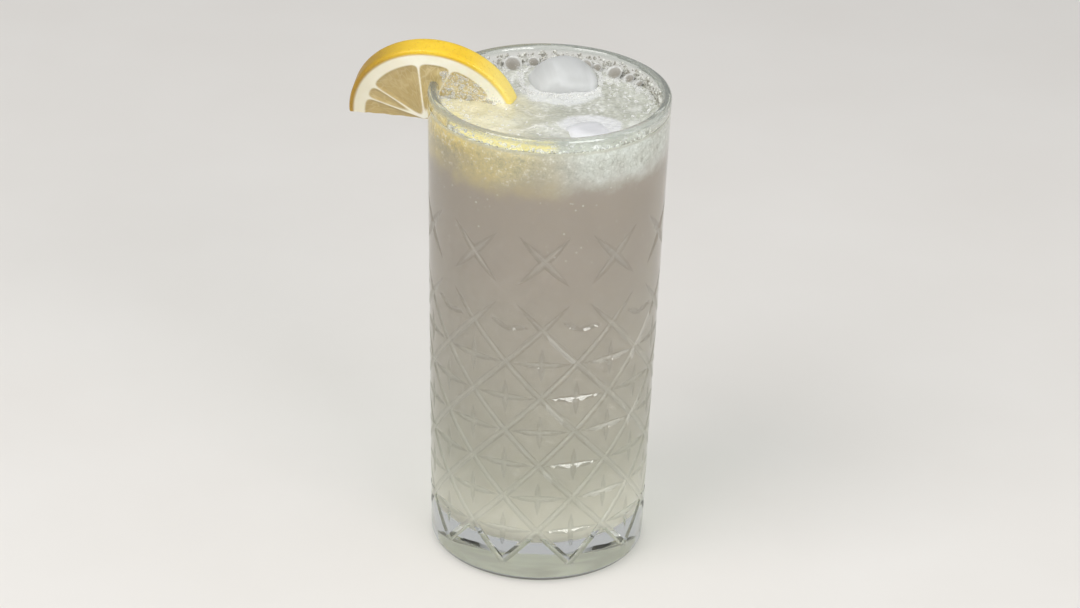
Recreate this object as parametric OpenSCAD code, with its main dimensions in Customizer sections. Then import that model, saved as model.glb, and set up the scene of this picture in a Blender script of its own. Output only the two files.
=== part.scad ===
// Tall cut tumbler of lemonade with half a lemon slice on its rim and two ice cubes.
// Origin: centre of the foot on the table. +Z up, the slice sits to the left (-X), front is -Y.

/* [Glass] */
// Height of the glass
glass_h = 152; // [140:0.1:185]
// Outer radius at the rim
rim_r = 36.5; // [35:0.1:44]
// Outer radius of the straight side, carried down to the table
foot_r = 33.4; // [32:0.1:40.2]
// Thickness of the wall
wall = 3; // [2.4:0.1:3.8]
// Thickness of the solid base
base_t = 12.3; // [9:0.1:15]
// Rounding where the side meets the foot
heel_r = 3; // [1.5:0.1:4]
// Rounding of the lip, inside and out
lip_r = 1.3; // [0.6:0.1:1.4]
// Rounding inside, between wall and floor
floor_r = 6; // [3:0.5:10]

/* [Cut pattern] */
// Diamonds round the glass
diamond_count = 10; // [8:1:12]
// Height of a diamond
diamond_h = 23.44; // [19:0.02:28.2]
// Height of the lowest points of the pattern
pattern_z = 7.2; // [7:0.1:9]
// Width of a groove between diamonds
groove_w = 2.5; // [1.6:0.1:3]
// Depth of a groove
groove_d = 0.7; // [0.3:0.05:0.9]
// Length of a star's level cut
star_len = 17; // [10:0.5:18]
// Height of a star's upright cut
star_h = 12; // [6:0.5:13]
// Width of a star's cuts
star_w = 1.6; // [1:0.1:2.4]
// Depth of a star at its middle
star_d = 0.5; // [0.2:0.05:0.8]
// Plain band between the diamonds and the row of crossed cuts
cross_gap = 2.8; // [1.8:0.1:4]
// Height of a pair of crossed cuts
cross_h = 16.4; // [10:0.2:17]
// Width of a crossed cut
cross_w = 3; // [1.6:0.1:4]
// Depth where two cuts cross
cross_d = 0.7; // [0.3:0.05:0.9]

/* [Drink] */
// Space between the drink's surface and the rim
headspace = 6; // [5:0.5:20]

/* [Lemon slice] */
// Radius of the slice
slice_r = 26; // [21:0.1:31]
// Thickness of the slice
slice_t = 6.5; // [5:0.5:9]
// Rounding of the peel's edges
peel_edge = 0.6; // [0.2:0.1:1.5]
// Depth of the slit that takes the rim
slit_depth = 14; // [8:0.5:15]
// Turn of the slice, its right end towards the front
slice_yaw = 10; // [0:1:20]
// Lean of the slice towards the front
slice_lean = 15; // [5:1:20]
// How far behind the middle of the glass the slice's front face lies
slice_back = 7; // [4:0.5:14]

/* [Ice] */
// Width of the high cube at the back
ice_w = 23; // [18:0.1:24]
// Depth of both cubes from front to back
ice_d = 20; // [16:0.5:22]
// Height of the high cube
ice_h = 22; // [16:0.5:26]
// How far the high cube stands out of the drink
ice_above = 7.5; // [5:0.5:9]
// Width of the low cube at the front
ice_low_w = 20; // [16:0.5:22]
// How far the low cube stands out of the drink
ice_low_above = 0.8; // [0.2:0.1:0.8]
// Rounding of the cubes
ice_r = 4.5; // [2:0.5:6]

/* [Hidden] */

skin_gap = 0.05;      // between the drink and what it touches
rim_gap = 0.25;       // between the slice's slit and the wall
arc_step = 15;        // degrees of arc to a facet in the drawn profiles
rim_n = 4 * diamond_count;            // facets round the plain bands
half_col = 180 / diamond_count;       // degrees from a diamond's middle to its side corner
half_row = diamond_h / 2;
level = glass_h - headspace;
slice_clear = 0.1;                    // between the drink and the slice or an ice cube

// Outer radius of the straight side at height z
function side_r(z) = foot_r + (rim_r - foot_r) * z / glass_h;
// Inner radius of the wall at height z
function bore_r(z) = side_r(z) - wall;

// ---- cut pattern: u counts half columns round the glass, v half rows up it ----

rows = 8;                              // half rows from the lowest points to the open top
star_u = star_len / 2 / (side_r(glass_h / 2) * half_col * PI / 180);   // half length in columns
star_v = star_h / 2 / half_row;
slope_len = norm([half_row, side_r(glass_h / 2) * half_col * PI / 180]);
inset = groove_w / 2 * slope_len / (side_r(glass_h / 2) * half_col * PI / 180) / half_row;
star_q = star_w / 2 / half_row;        // half width of a star's cut near its middle
fade = 0.7;                            // share of the groove's depth left half way up the top edges

function wrap(u) = let(n = 2 * diamond_count, m = round(((u % n + n) % n) * 10000) / 10000) m >= n ? 0 : m;
// Point on the side, cut in by the given depth
function at(u, z, cut = 0) =
    let(t = wrap(u) * half_col, r = side_r(z) - cut) [r * sin(t), -r * cos(t), z];
function row_z(v) = pattern_z + half_row * v;
function on(u, v, cut = 0) = at(u, row_z(v), cut);
function quad(a, b, c, d) = [[a, b, c], [a, c, d]];

// Depth of a groove at a corner or half way along an edge
function corner_cut(v) = v >= rows ? 0 : groove_d;
function edge_cut(v) = v > rows - 1 ? groove_d * fade : groove_d;

// One diamond with its four half grooves and the star at its middle
function diamond(u, v) =
    let(
        c = [on(u - 1, v, corner_cut(v)), on(u, v - 1, corner_cut(v - 1)),
             on(u + 1, v, corner_cut(v)), on(u, v + 1, corner_cut(v + 1))],
        m = [on(u - 0.5, v - 0.5, edge_cut(v - 0.5)), on(u + 0.5, v - 0.5, edge_cut(v - 0.5)),
             on(u + 0.5, v + 0.5, edge_cut(v + 0.5)), on(u - 0.5, v + 0.5, edge_cut(v + 0.5))],
        k = 1 - inset,
        i = [on(u - k, v), on(u, v - k), on(u + k, v), on(u, v + k)],
        j = [on(u - k / 2, v - k / 2), on(u + k / 2, v - k / 2),
             on(u + k / 2, v + k / 2), on(u - k / 2, v + k / 2)],
        t = [on(u - star_u, v), on(u, v - star_v), on(u + star_u, v), on(u, v + star_v)],
        a = [on(u - star_q, v - star_q), on(u + star_q, v - star_q),
             on(u + star_q, v + star_q), on(u - star_q, v + star_q)],
        mid = on(u, v, star_d)
    )
    [for (s = [0 : 3]) let(n = (s + 1) % 4) each concat(
        quad(c[s], m[s], j[s], i[s]),
        quad(m[s], c[n], i[n], j[s]),
        quad(i[s], j[s], a[s], t[s]),
        quad(j[s], i[n], t[n], a[s]),
        [[t[s], a[s], mid], [a[s], t[n], mid]]
    )];

// Lower side of the lowest zigzag groove, and the plain band down to the heel
function bottom_strip(u) =
    let(v0 = u % 2 == 0 ? 1 : 0, v1 = 1 - v0,
        lo = [at(u, heel_top), at(u + 0.5, heel_top), at(u + 1, heel_top)],
        o = [on(u, v0 - inset), on(u + 0.5, 0.5 - inset), on(u + 1, v1 - inset)],
        g = [on(u, v0, groove_d), on(u + 0.5, 0.5, groove_d), on(u + 1, v1, groove_d)])
    [for (s = [0 : 1]) each concat(
        quad(lo[s], lo[s + 1], o[s + 1], o[s]),
        quad(o[s], o[s + 1], g[s + 1], g[s])
    )];

// Upper side of the top grooves, and one pair of crossed cuts up to the plain band
cross_u = 0.76;                        // half width of a pair, in half columns
cross_v = cross_h / 2;
cross_z = row_z(rows) + cross_gap + cross_v;
cross_in = cross_w / 2 * 1.3;          // where the two cuts' sides meet, from the middle
band_z = cross_z + cross_v + 1.3;      // where the plain band starts
cross_iu = cross_in / (side_r(cross_z) * half_col * PI / 180);
function crossed(u) =
    let(
        v = rows - 1,
        g = [on(u - 1, v + 1), on(u - 0.5, v + 0.5, edge_cut(v + 0.5)), on(u, v, groove_d),
             on(u + 0.5, v + 0.5, edge_cut(v + 0.5)), on(u + 1, v + 1)],
        p = [on(u - 1, v + 1 + inset * fade), on(u - 0.5, v + 0.5 + inset * fade), on(u, v + inset),
             on(u + 0.5, v + 0.5 + inset * fade), on(u + 1, v + 1 + inset * fade)],
        q = [for (s = [-2 : 2]) at(u + s / 2, band_z)],
        t = [at(u - cross_u, cross_z - cross_v), at(u + cross_u, cross_z - cross_v),
             at(u + cross_u, cross_z + cross_v), at(u - cross_u, cross_z + cross_v)],
        a = [at(u, cross_z - cross_in), at(u + cross_iu, cross_z),
             at(u, cross_z + cross_in), at(u - cross_iu, cross_z)],
        mid = at(u, cross_z, cross_d)
    )
    concat(
        [for (s = [0 : 3]) each quad(g[s], g[s + 1], p[s + 1], p[s])],
        [for (s = [0 : 3]) each [[t[s], a[s], mid], [a[s], t[(s + 1) % 4], mid]]],
        [[p[0], p[1], t[0]], [p[1], a[0], t[0]], [p[1], p[2], a[0]], [p[2], p[3], a[0]],
         [p[3], t[1], a[0]], [p[3], p[4], t[1]], [p[4], a[1], t[1]], [p[4], q[4], a[1]],
         [a[1], q[4], t[2]], [t[2], q[4], q[3]], [t[2], q[3], a[2]], [q[3], q[2], a[2]],
         [q[2], q[1], a[2]], [q[1], t[3], a[2]], [q[1], q[0], t[3]], [t[3], q[0], a[3]],
         [q[0], p[0], a[3]], [p[0], t[0], a[3]]]
    );

heel_top = heel_r;
edge_steps = 4;
// Radius and height of the rings that round the heel and the lip
heel_rings = [for (s = [0 : edge_steps]) let(t = 90 * s / edge_steps)
    [side_r(heel_r) - heel_r + heel_r * sin(t), heel_r - heel_r * cos(t)]];
lip_rings = [for (s = [0 : edge_steps]) let(t = 90 * s / edge_steps)
    [side_r(glass_h - lip_r) - lip_r + lip_r * cos(t), glass_h - lip_r + lip_r * sin(t)]];
function ring_at(k, r, z) = let(t = wrap(k / 2) * half_col) [r * sin(t), -r * cos(t), z];
function band(lower, upper) = [for (k = [0 : rim_n - 1]) each quad(
    ring_at(k, lower[0], lower[1]), ring_at(k + 1, lower[0], lower[1]),
    ring_at(k + 1, upper[0], upper[1]), ring_at(k, upper[0], upper[1]))];
function cap(ring, up) = [for (k = [0 : rim_n - 1]) let(
    a = ring_at(k, ring[0], ring[1]), b = ring_at(k + 1, ring[0], ring[1]), c = [0, 0, ring[1]])
    up ? [a, b, c] : [b, a, c]];

// The whole outside of the glass as one closed skin
skin = concat(
    cap(heel_rings[0], false),
    [for (s = [0 : edge_steps - 1]) each band(heel_rings[s], heel_rings[s + 1])],
    [for (u = [0 : 2 * diamond_count - 1]) each bottom_strip(u)],
    [for (v = [1 : rows - 1], u = [0 : 2 * diamond_count - 1]) if ((u + v) % 2 == 0) each diamond(u, v)],
    [for (u = [0 : 2 : 2 * diamond_count - 2]) each crossed(u)],
    band([side_r(band_z), band_z], lip_rings[0]),
    [for (s = [0 : edge_steps - 1]) each band(lip_rings[s], lip_rings[s + 1])],
    cap(lip_rings[edge_steps], true)
);

module outside() {
    polyhedron(
        points = [for (t = skin, p = t) p],
        faces = [for (k = [0 : len(skin) - 1]) [3 * k, 3 * k + 2, 3 * k + 1]],
        convexity = 10
    );
}

// Half section of what the glass holds, filled to height top and shrunk by gap
module inside_section(top, gap) {
    corner = [bore_r(base_t + floor_r) - floor_r, base_t + floor_r];
    polygon(concat(
        [[0, base_t + gap]],
        [for (t = [-90 : arc_step : 0]) corner + (floor_r - gap) * [cos(t), sin(t)]],
        [[bore_r(top) - gap, top], [0, top]]
    ));
}

// Half section of the space that the slit leaves round the wall
module wall_section(gap) {
    low = level - slice_r;
    polygon([
        [bore_r(low) - gap, low], [side_r(low) + gap, low],
        [side_r(glass_h) + gap, glass_h + gap], [bore_r(glass_h) - gap, glass_h + gap]
    ]);
}

// Half section of the lip's inner rounding, above the straight bore
module lip_flare() {
    z0 = glass_h - lip_r;
    polygon(concat(
        [[0, z0 - 1], [bore_r(z0 - 1), z0 - 1]],
        [for (t = [180 : -arc_step : 90])
            [bore_r(z0) + lip_r + lip_r * cos(t), z0 + lip_r * sin(t)]],
        [[bore_r(z0) + lip_r, glass_h + 1], [0, glass_h + 1]]
    ));
}

// ---- lemon slice: local X runs along the cut edge, Y up the slice, Z out of its front face ----

module at_slice() {
    slice_x = -bore_r(glass_h) - wall / 2;
    slice_z = glass_h - slit_depth;
    translate([slice_x, slice_back, slice_z]) rotate([90 + slice_lean, 0, -slice_yaw]) children();
}

module half_wheel(grow) {
    r = slice_r + grow;
    t = slice_t + 2 * grow;
    e = peel_edge;
    difference() {
        translate([0, 0, grow - t]) rotate_extrude($fn = 96) polygon([
            [0, 0], [r - e, 0], [r, e], [r, t - e], [r - e, t], [0, t]
        ]);
        translate([-2 * slice_r, -2 * slice_r - grow, -2 * slice_t])
            cube([4 * slice_r, 2 * slice_r, 4 * slice_t]);
    }
}

// ---- ice: block(w, d, h) is a tapered cube with round edges, its top at z = 0 ----

module block(w, d, h, r) {
    taper = 0.88;
    hull() for (x = [-1, 1], y = [-1, 1]) {
        translate([x * (w / 2 - r), y * (d / 2 - r), -r]) sphere(r, $fn = 20);
        translate([x * taper * (w / 2 - r), y * taper * (d / 2 - r), r - h]) sphere(r, $fn = 20);
    }
}

ice_back_x = 3;
ice_back_y = bore_r(level) - ice_d / 2 - 4.5;
ice_front_angle = 34;                  // degrees round from the front to the low cube
ice_front_out = bore_r(level) - ice_d / 2 - 2.2;

module at_ice_back() {
    translate([ice_back_x, ice_back_y, level + ice_above]) rotate([4, -5, 8]) children();
}

module at_ice_front() {
    rotate([0, 0, ice_front_angle]) translate([0, -ice_front_out, level + ice_low_above]) children();
}

// ---- the pieces ----

module glass() {
    color([0.86, 0.91, 0.88, 0.5]) difference() {
        outside();
        rotate_extrude($fn = 128) inside_section(glass_h - lip_r, 0);
        rotate_extrude($fn = 128) lip_flare();
    }
}

module lemonade() {
    color([0.85, 0.84, 0.68]) difference() {
        rotate_extrude($fn = 128) inside_section(level, skin_gap);
        at_slice() half_wheel(slice_clear);
        at_ice_back() block(ice_w + 2 * slice_clear, ice_d + 2 * slice_clear, ice_h + slice_clear,
                            ice_r);
        at_ice_front() block(ice_low_w + 2 * slice_clear, ice_d + 2 * slice_clear,
                             ice_h + slice_clear, ice_r);
    }
}

module lemon_slice() {
    color([0.96, 0.83, 0.20]) difference() {
        at_slice() half_wheel(0);
        rotate_extrude($fn = 128) wall_section(rim_gap);
    }
}

module ice_back() {
    color([0.90, 0.93, 0.95]) at_ice_back() block(ice_w, ice_d, ice_h, ice_r);
}

module ice_front() {
    color([0.90, 0.93, 0.95]) at_ice_front() block(ice_low_w, ice_d, ice_h, ice_r);
}

glass();
lemonade();
lemon_slice();
ice_back();
ice_front();
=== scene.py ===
"""Looks for a glass of cloudy lemonade: cut tumbler, drink with foam and ice, half a lemon slice."""

import math

import bmesh
import bpy
import numpy as np
from mathutils import Matrix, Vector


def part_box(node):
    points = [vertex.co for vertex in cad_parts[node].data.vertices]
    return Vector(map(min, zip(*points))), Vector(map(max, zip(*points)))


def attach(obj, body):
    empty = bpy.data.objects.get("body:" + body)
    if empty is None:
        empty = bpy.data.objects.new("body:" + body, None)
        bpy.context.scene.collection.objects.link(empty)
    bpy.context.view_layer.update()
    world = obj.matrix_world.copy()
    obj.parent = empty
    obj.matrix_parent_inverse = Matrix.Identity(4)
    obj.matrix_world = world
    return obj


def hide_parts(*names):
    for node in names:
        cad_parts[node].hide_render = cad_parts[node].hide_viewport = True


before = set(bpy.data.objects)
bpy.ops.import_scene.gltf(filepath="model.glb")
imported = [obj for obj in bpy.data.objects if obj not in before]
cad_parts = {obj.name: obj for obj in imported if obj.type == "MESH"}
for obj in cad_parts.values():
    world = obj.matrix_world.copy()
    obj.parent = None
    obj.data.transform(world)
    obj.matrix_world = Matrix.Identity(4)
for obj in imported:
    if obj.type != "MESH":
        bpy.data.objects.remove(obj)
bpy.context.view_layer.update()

MM = 0.001

# ---------------------------------------------------------------- sizes, from the frame

_, glass_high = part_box("glass")
drink_low, drink_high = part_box("lemonade")
GLASS_H = glass_high[2]
RIM_R = 36.5 * MM                     # outer radius at the rim, before the lip is rounded
FOOT_R = 33.4 * MM
WALL = 3.0 * MM
BASE_T = drink_low[2]
LEVEL = drink_high[2]
HEEL_R = 3.0 * MM
LIP_R = 1.3 * MM
FLOOR_R = 6.0 * MM
FROTH = LEVEL + 0.7 * MM              # the froth stands a little over the drink
IN_FROTH = 0.1 * MM                   # how far bubbles sink into it
INTO_WALL = 0.25 * MM                 # how far the drink reaches into the glass, so no air shows
CUBE_SHAPE = 3.4                      # exponent of an ice cube's outline: 2 is round, more is squarer


def side_r(z):
    """Outer radius of the glass at height z."""
    return FOOT_R + (RIM_R - FOOT_R) * z / GLASS_H


def bore_r(z):
    """Inner radius of the glass at height z."""
    return side_r(z) - WALL


# ---------------------------------------------------------------- shader writing


class Value:
    """A node's output. Arithmetic on it adds Math nodes."""

    def __init__(self, look, socket):
        self.look = look
        self.socket = socket

    def math(self, operation, *others, clamp=False):
        sockets = {i + 1: other for i, other in enumerate(others)}
        sockets[0] = self
        return self.look.node("ShaderNodeMath", {"operation": operation, "use_clamp": clamp}, sockets)

    def reflected(self, operation, other):
        return self.look.node("ShaderNodeMath", {"operation": operation}, {0: other, 1: self})

    def __add__(self, other):
        return self.math("ADD", other)

    def __radd__(self, other):
        return self.math("ADD", other)

    def __sub__(self, other):
        return self.math("SUBTRACT", other)

    def __rsub__(self, other):
        return self.reflected("SUBTRACT", other)

    def __mul__(self, other):
        return self.math("MULTIPLY", other)

    def __rmul__(self, other):
        return self.math("MULTIPLY", other)

    def __truediv__(self, other):
        return self.math("DIVIDE", other)

    def __pow__(self, other):
        return self.math("POWER", other)

    def other(self, name):
        """Another output of the same node."""
        return Value(self.look, self.socket.node.outputs[name])

    def step(self, low, high):
        """0 under low, 1 over high, smooth between. With low over high it falls instead."""
        rising = low < high
        return self.look.node(
            "ShaderNodeMapRange",
            {"interpolation_type": "SMOOTHSTEP"},
            {"Value": self, "From Min": min(low, high), "From Max": max(low, high),
             "To Min": 0.0 if rising else 1.0, "To Max": 1.0 if rising else 0.0},
        )


class Look:
    """One material, written node by node."""

    def __init__(self, name):
        self.material = bpy.data.materials.new(name)
        self.material.use_nodes = True
        self.tree = self.material.node_tree
        self.tree.nodes.clear()
        self.output = self.tree.nodes.new("ShaderNodeOutputMaterial")

    def node(self, kind, settings=None, sockets=None, out=0):
        made = self.tree.nodes.new(kind)
        for key, value in (settings or {}).items():
            if key == "stops":
                ramp = made.color_ramp
                while len(ramp.elements) < len(value):
                    ramp.elements.new(0.5)
                for element, (place, colour) in zip(ramp.elements, value):
                    element.position = place
                    element.color = (*colour, 1.0)
            else:
                setattr(made, key, value)
        for key, value in (sockets or {}).items():
            if isinstance(value, Value):
                self.tree.links.new(value.socket, made.inputs[key])
            elif isinstance(value, tuple) and made.inputs[key].type == "RGBA" and len(value) == 3:
                made.inputs[key].default_value = (*value, 1.0)
            else:
                made.inputs[key].default_value = value
        return Value(self, made.outputs[out])

    def place(self):
        """Position on the object, in metres."""
        return self.node("ShaderNodeTexCoord", out="Object")

    def parts(self, vector):
        x = self.node("ShaderNodeSeparateXYZ", sockets={0: vector})
        return x, x.other("Y"), x.other("Z")

    def noise(self, scale, detail=3.0, vector=None, roughness=0.5, distortion=0.0):
        return self.node("ShaderNodeTexNoise", sockets={
            "Vector": vector or self.place(), "Scale": scale, "Detail": detail,
            "Roughness": roughness, "Distortion": distortion})

    def cells(self, scale, vector=None, feature="F1", randomness=1.0):
        return self.node("ShaderNodeTexVoronoi", {"feature": feature}, {
            "Vector": vector or self.place(), "Scale": scale, "Randomness": randomness})

    def mix(self, share, first, second, blend="MIX"):
        """A colour between two, by share."""
        made = self.node("ShaderNodeMix", {"data_type": "RGBA", "blend_type": blend}, {0: share}, out=2)
        for key, value in ((6, first), (7, second)):
            socket = made.socket.node.inputs[key]
            if isinstance(value, Value):
                self.tree.links.new(value.socket, socket)
            else:
                socket.default_value = (*value, 1.0)
        return made

    def attribute(self, name, out="Fac"):
        return self.node("ShaderNodeAttribute", {"attribute_name": name}, out=out)

    def bump(self, height, distance, strength=1.0, normal=None):
        sockets = {"Height": height, "Distance": distance, "Strength": strength}
        if normal is not None:
            sockets["Normal"] = normal
        return self.node("ShaderNodeBump", sockets=sockets)

    def principled(self, **sockets):
        names = {key.replace("_", " ").title().replace("Ior", "IOR"): value for key, value in sockets.items()}
        return self.node("ShaderNodeBsdfPrincipled", sockets=names)

    def finish(self, surface):
        self.tree.links.new(surface.socket, self.output.inputs["Surface"])
        return self.material


def rgb(red, green, blue):
    """Screen colour, 0 to 255, as the linear colour that shaders take."""
    def linear(c):
        c = c / 255
        return c / 12.92 if c <= 0.04045 else ((c + 0.055) / 1.055) ** 2.4
    return (linear(red), linear(green), linear(blue))


# ---------------------------------------------------------------- materials

LAMPS_THROUGH = 0.95                  # share of a lamp's light that a clear wall passes on
DRINK_THROUGH = 0.75                  # the same for one side of the cloudy drink

# heights between which the drink's tints and bubbles fade in
FOAM_ZONE = (LEVEL - 14.5 * MM, LEVEL - 6.5 * MM)
LEMON_ZONE = (LEVEL - 17 * MM, LEVEL - 8 * MM)
AMBER_ZONE = (LEVEL - 7 * MM, LEVEL - 2 * MM)
BUBBLE_ZONE = (LEVEL - 13 * MM, LEVEL - 5 * MM)
SEED_ZONE = (LEVEL - 55 * MM, LEVEL - 16 * MM)
SUNK_ICE = (                          # middle, half size and colour of the foam that it whitens
    ((12.8 * MM, -13.5 * MM), (9.5 * MM, 8.0 * MM), (222, 222, 223)),
    ((3.6 * MM, 10 * MM), (12 * MM, 8.5 * MM), (222, 223, 221)),
)


def clear_wall(look, surface, share=LAMPS_THROUGH):
    """Lets lamps light what stands behind a clear wall."""
    lamp_ray = look.node("ShaderNodeLightPath", out="Is Shadow Ray")
    see = look.node("ShaderNodeBsdfTransparent", sockets={"Color": (0.97, 0.99, 0.98)})
    return look.node("ShaderNodeMixShader", sockets={0: lamp_ray * share, 1: surface, 2: see})


def glass_look():
    look = Look("clear cut glass")
    ripple = look.noise(90.0, 2.0)
    haze = look.noise(400.0, 3.0)
    glass = look.principled(
        base_color=look.mix(ripple, (0.935, 0.96, 0.95), (0.965, 0.98, 0.97)),
        roughness=haze.step(0.45, 0.8) * 0.03,
        normal=look.bump(ripple, 0.2 * MM, 0.25),
        transmission_weight=1.0, ior=1.5)
    # the lip's thick glass gathers its own tint, and the heel is darkened as a painted contact shadow
    x, y, z = look.parts(look.place())
    out = (x * x + y * y) ** 0.5
    heel = z.step(2.3 * MM, 1.6 * MM) * out.step(30.4 * MM, 31.2 * MM) * 0.85
    # painted shade makes the cuts' edges darker than the flat wall, and a painted highlight makes their
    # bottoms lighter
    depth = FOOT_R - out + z * ((RIM_R - FOOT_R) / GLASS_H)
    patterned = z.step(4 * MM, 6 * MM) * z.step(GLASS_H - 20 * MM, GLASS_H - 24 * MM)
    outside = depth.step(2.0 * MM, 1.5 * MM)
    cut = depth.step(0.02 * MM, 0.10 * MM) * patterned * outside
    bottom = depth.step(0.34 * MM, 0.52 * MM)
    lip = z.step(GLASS_H - 2.2 * MM, GLASS_H - 0.8 * MM) * 0.44
    tint_and_shade_share = lip + heel + cut * (0.17 - bottom * 0.08)
    cut_shade_and_highlight = look.mix(bottom, rgb(112, 114, 102), rgb(222, 225, 217))
    tint = look.principled(
        base_color=look.mix(cut, look.mix(z / GLASS_H, rgb(72, 72, 62), rgb(164, 170, 162)), cut_shade_and_highlight),
        roughness=0.1, ior=1.5)
    glass = look.node("ShaderNodeMixShader", sockets={0: tint_and_shade_share, 1: glass, 2: tint})
    return look.finish(clear_wall(look, glass))


def drink_colour(look):
    """Colour of the drink by its place: greyer at the top, creamier below and lighter still near the floor
    with painted light from the base, tinted by the lemon and ice.
    """
    x, y, z = look.parts(look.place())
    height = z / GLASS_H
    clouds = look.noise(45.0, 3.0, distortion=0.4)
    # lighter towards the floor: painted light that comes in through the base
    body = look.node("ShaderNodeValToRGB", {"stops": [
        (0.08, rgb(211, 208, 195)), (0.14, rgb(197, 194, 181)), (0.24, rgb(174, 171, 158)),
        (0.45, rgb(168, 162, 151)), (0.70, rgb(161, 152, 142)), (0.96, rgb(157, 147, 136))]},
        {0: height + (clouds - 0.5) * 0.10})
    around = x.math("ARCTAN2", y * -1.0)
    ragged = (look.noise(160.0, 6.0, roughness=0.65) - 0.5) * 9 * MM
    # the foam and the sunk ice at the right
    spread = around.step(-0.15, 0.45) * (around.step(1.75, 1.1) * 0.6 + 0.4) + around.step(-2.1, -2.7) * 0.4
    pale = (z + ragged).step(*FOAM_ZONE) * spread
    cloudy = look.noise(110.0, 5.0, roughness=0.7).step(0.3, 0.6)
    body = look.mix(pale * (cloudy * 0.4 + 0.5), body, rgb(212, 214, 210))
    # the slice seen through the drink at the left
    left = around.step(-2.1, -1.5) * around.step(0.3, -0.3)
    warm = (z + ragged).step(*LEMON_ZONE) * left
    patch = look.noise(75.0, 3.0).step(0.35, 0.62)
    body = look.mix(warm * (patch * 0.5 + 0.35), body, rgb(200, 184, 132))
    amber = (z + ragged).step(*AMBER_ZONE) * around.step(-0.55, -0.9)
    body = look.mix(amber * 0.7, body, rgb(214, 192, 118))
    # the underside gathers the light that runs round in the thick base
    gathered = look.mix(look.noise(130.0, 4.0).step(0.35, 0.65), rgb(214, 212, 200), rgb(242, 240, 226))
    body = look.mix(z.step(BASE_T + 4 * MM, BASE_T), body, gathered)
    return body, z, around


def drink_side_look():
    look = Look("cloudy lemonade")
    body, z, around = drink_colour(look)
    # bubbles against the wall: thin outlines, large ones among small ones
    small = look.cells(800.0)
    large = look.cells(300.0, randomness=0.8)
    outlines = (small - 0.42).math("ABSOLUTE").step(0.10, 0.02) * 0.6
    outlines = outlines + (large - 0.44).math("ABSOLUTE").step(0.045, 0.01) * look.noise(40.0).step(0.45, 0.6)
    fade = (z + (look.noise(130.0, 5.0) - 0.5) * 10 * MM).step(*BUBBLE_ZONE)
    body = look.mix(fade * 0.35 * around.step(-0.9, 0.2), body, rgb(196, 198, 188))
    body = look.mix(outlines * fade * 0.45, body, rgb(152, 152, 140))
    glints = look.cells(700.0).step(0.26, 0.12) * fade
    body = look.mix(glints * 0.35 * around.step(-1.0, 0.3), body, rgb(226, 226, 220))
    grit = look.noise(600.0, 6.0, roughness=0.75)
    body = look.mix(fade * grit.step(0.50, 0.36) * 0.42, body, rgb(138, 137, 124))
    body = look.mix(fade * grit.step(0.54, 0.68) * 0.65, body, rgb(236, 237, 232))
    # the foam's edge on the wall
    body = look.mix(z.step(LEVEL - 0.2 * MM, LEVEL + 0.5 * MM) * 0.6, body, rgb(176, 174, 160))
    # small bubbles that hang on the wall further down
    seeds = look.cells(420.0)
    crowd = look.noise(60.0).step(0.48, 0.62) * z.step(*SEED_ZONE)
    dots = seeds.step(0.17, 0.08) * crowd
    body = look.mix(dots * 0.6, body, rgb(214, 213, 204))
    drink = look.principled(
        base_color=body, roughness=look.noise(120.0) * 0.2 + 0.3,
        specular_ior_level=0.0, subsurface_weight=1.0, subsurface_radius=(1.0, 0.98, 0.9),
        subsurface_scale=0.4 * MM)
    return look.finish(clear_wall(look, drink, DRINK_THROUGH))


def drink_top_look():
    look = Look("foamy surface")
    place = look.place()
    fine = look.cells(1500.0, place)
    mid = look.cells(700.0, place)
    froth = look.noise(90.0, 5.0, place)
    rims = mid.step(0.25, 0.62)
    streak = look.noise(70.0, 6.0, place, roughness=0.7, distortion=1.2)
    base = look.mix(froth.step(0.35, 0.65), rgb(184, 185, 173), rgb(214, 215, 205))
    base = look.mix(streak.step(0.50, 0.64) * 0.75, base, rgb(240, 240, 236))
    x, y, _ = look.parts(place)
    grainy = look.noise(60.0, 3.0, place).step(0.35, 0.6) * 0.35 + x.step(2 * MM, 22 * MM) * 0.25
    base = look.mix(rims * grainy, base, rgb(150, 149, 134))
    base = look.mix(mid.step(0.16, 0.05) * grainy, base, rgb(240, 240, 234))
    # darker towards the right, and painted shade by the wall at the front
    base = look.mix(x.step(8 * MM, 26 * MM) * 0.3, base, rgb(176, 178, 166))
    base = look.mix(y.step(-17 * MM, -22 * MM) * x.step(-20 * MM, -4 * MM) * 0.6, base, rgb(172, 174, 162))
    ragged = (froth - 0.5) * 12 * MM
    warm = (x + ragged).step(4 * MM, -22 * MM) * (y + ragged).step(14 * MM, 2 * MM)
    base = look.mix(warm * 0.42, base, rgb(234, 220, 160))
    out = (x * x + y * y) ** 0.5
    # the peel glows in the foam by the wall at the front left
    front_left = (x + ragged * 0.4).step(4 * MM, -1 * MM) * y.step(-4 * MM, -12 * MM)
    peel_glow = (out + ragged * 0.15).step(27 * MM, 29 * MM) * front_left
    base = look.mix(peel_glow * 0.75, base, rgb(238, 222, 140))
    # the sunk ice whitens the foam over it
    for (middle_x, middle_y), (half_x, half_y), colour in SUNK_ICE:
        away = ((x - middle_x) / half_x) ** 2 + ((y - middle_y) / half_y) ** 2
        base = look.mix((away + (froth - 0.5) * 1.6).step(1.2, 0.7) * 0.8, base, rgb(*colour))
    base = look.mix(out.step(32.2 * MM, 32.9 * MM) * 0.85, base, rgb(150, 148, 134))
    foam = look.principled(
        base_color=base, roughness=froth * 0.2 + 0.1, ior=1.33,
        subsurface_weight=0.6, subsurface_radius=(1.0, 1.0, 0.9), subsurface_scale=0.4 * MM,
        normal=look.bump(1.0 - mid, 0.25 * MM, 0.45, look.bump(1.0 - fine, 0.15 * MM, 0.5)))
    return look.finish(clear_wall(look, foam, DRINK_THROUGH))


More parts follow.
